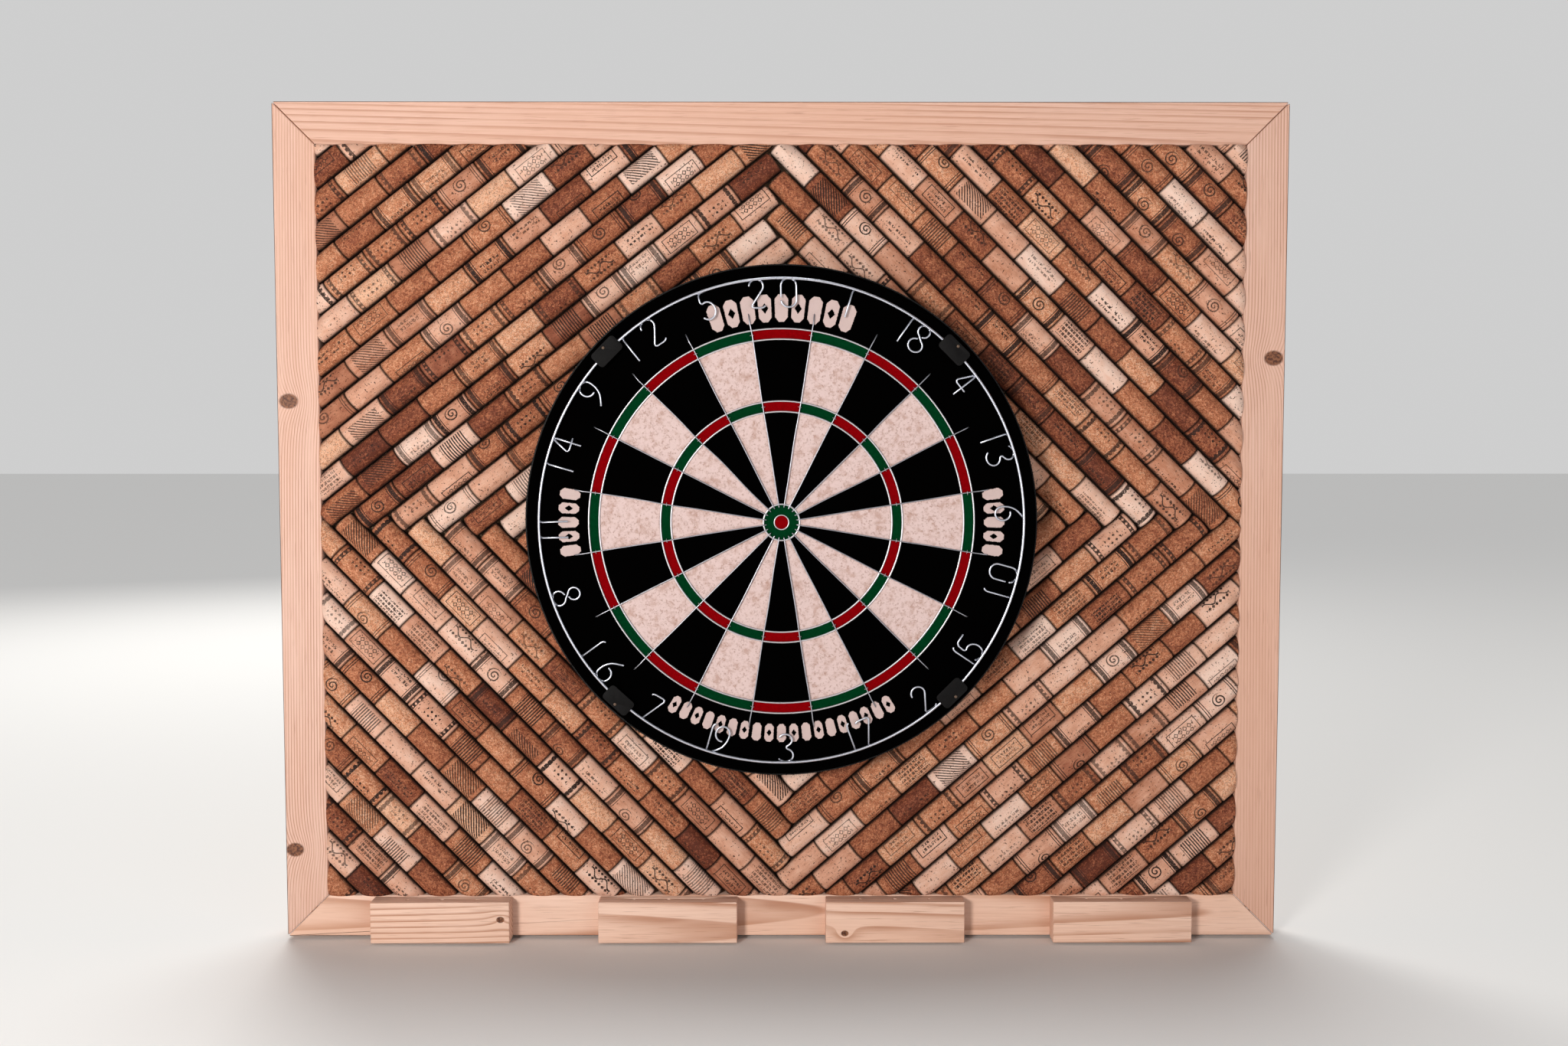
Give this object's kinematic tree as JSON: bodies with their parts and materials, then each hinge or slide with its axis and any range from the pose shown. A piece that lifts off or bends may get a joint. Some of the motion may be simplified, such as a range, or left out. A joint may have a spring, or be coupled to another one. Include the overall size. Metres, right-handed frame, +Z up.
{
  "type": "dartboard surround",
  "caption": "Wall-hung bristle dartboard in a mitred pine frame filled with herringbone wine corks, with dart rest blocks on the bottom rail.",
  "frame": {"origin": "centre of the frame's back face, on the wall", "axes": "+X to the right, +Y into the wall, +Z up; the dartboard faces -Y"},
  "size_m": [0.9144, 0.0979, 0.763],
  "materials": {
    "pine": "bare sanded pine, satin",
    "plywood": "bare plywood",
    "cork": "natural cork, matt, stamped",
    "zinc_steel": "zinc plated",
    "black_steel": "black",
    "fibreboard": "raw fibreboard",
    "sisal": "pressed fibre, dyed black, cream, red and green",
    "felt": "felt",
    "spider_wire": "bright galvanised wire",
    "ring_wire": "bright wire",
    "black_plastic": "matt"
  },
  "bodies": {
    "surround": {"top_rail": "pine", "bottom_rail": "pine", "left_stile": "pine", "right_stile": "pine", "corner_nails": "zinc_steel", "back_panel": "plywood", "panel_screws": "zinc_steel", "corks_top_left": "cork", "corks_top_right": "cork", "corks_bottom_left": "cork", "corks_bottom_right": "cork", "dart_block_1": "pine", "dart_block_2": "pine", "dart_block_3": "pine", "dart_block_4": "pine", "block_screws": "zinc_steel", "keyhole_plates": "zinc_steel", "plate_screws": "zinc_steel", "spacer_block": "plywood", "spacer_screws": "zinc_steel", "wall_bracket": "black_steel", "bracket_screws": "zinc_steel"},
    "hanger": {"hanging_screw": "zinc_steel"},
    "dartboard": {"board_backing": "fibreboard", "sisal_disc": "sisal", "rim_band": "black_steel", "back_bumpers": "felt", "double_wires": "spider_wire", "treble_wires": "spider_wire", "bull_wire": "spider_wire", "bullseye_wire": "spider_wire", "radial_wires": "spider_wire", "spider_staples": "spider_wire", "ring_clips": "black_plastic", "clip_nails": "zinc_steel"},
    "number_ring": {"number_ring": "ring_wire", "number_wires": "ring_wire"}
  },
  "joints": [
    {"name": "board_lift", "type": "slide", "parent": "surround", "child": "hanger", "axis": [0, 0, 1], "range_m": [0, 0.03]},
    {"name": "board_turn", "type": "hinge", "parent": "hanger", "child": "dartboard", "pos_m": [0, -0.06, 0.006], "axis": [0, -1, 0], "continuous": true},
    {"name": "number_ring_turn", "type": "hinge", "parent": "dartboard", "child": "number_ring", "pos_m": [0, -0.094, 0.006], "axis": [0, -1, 0], "continuous": true}
  ]
}
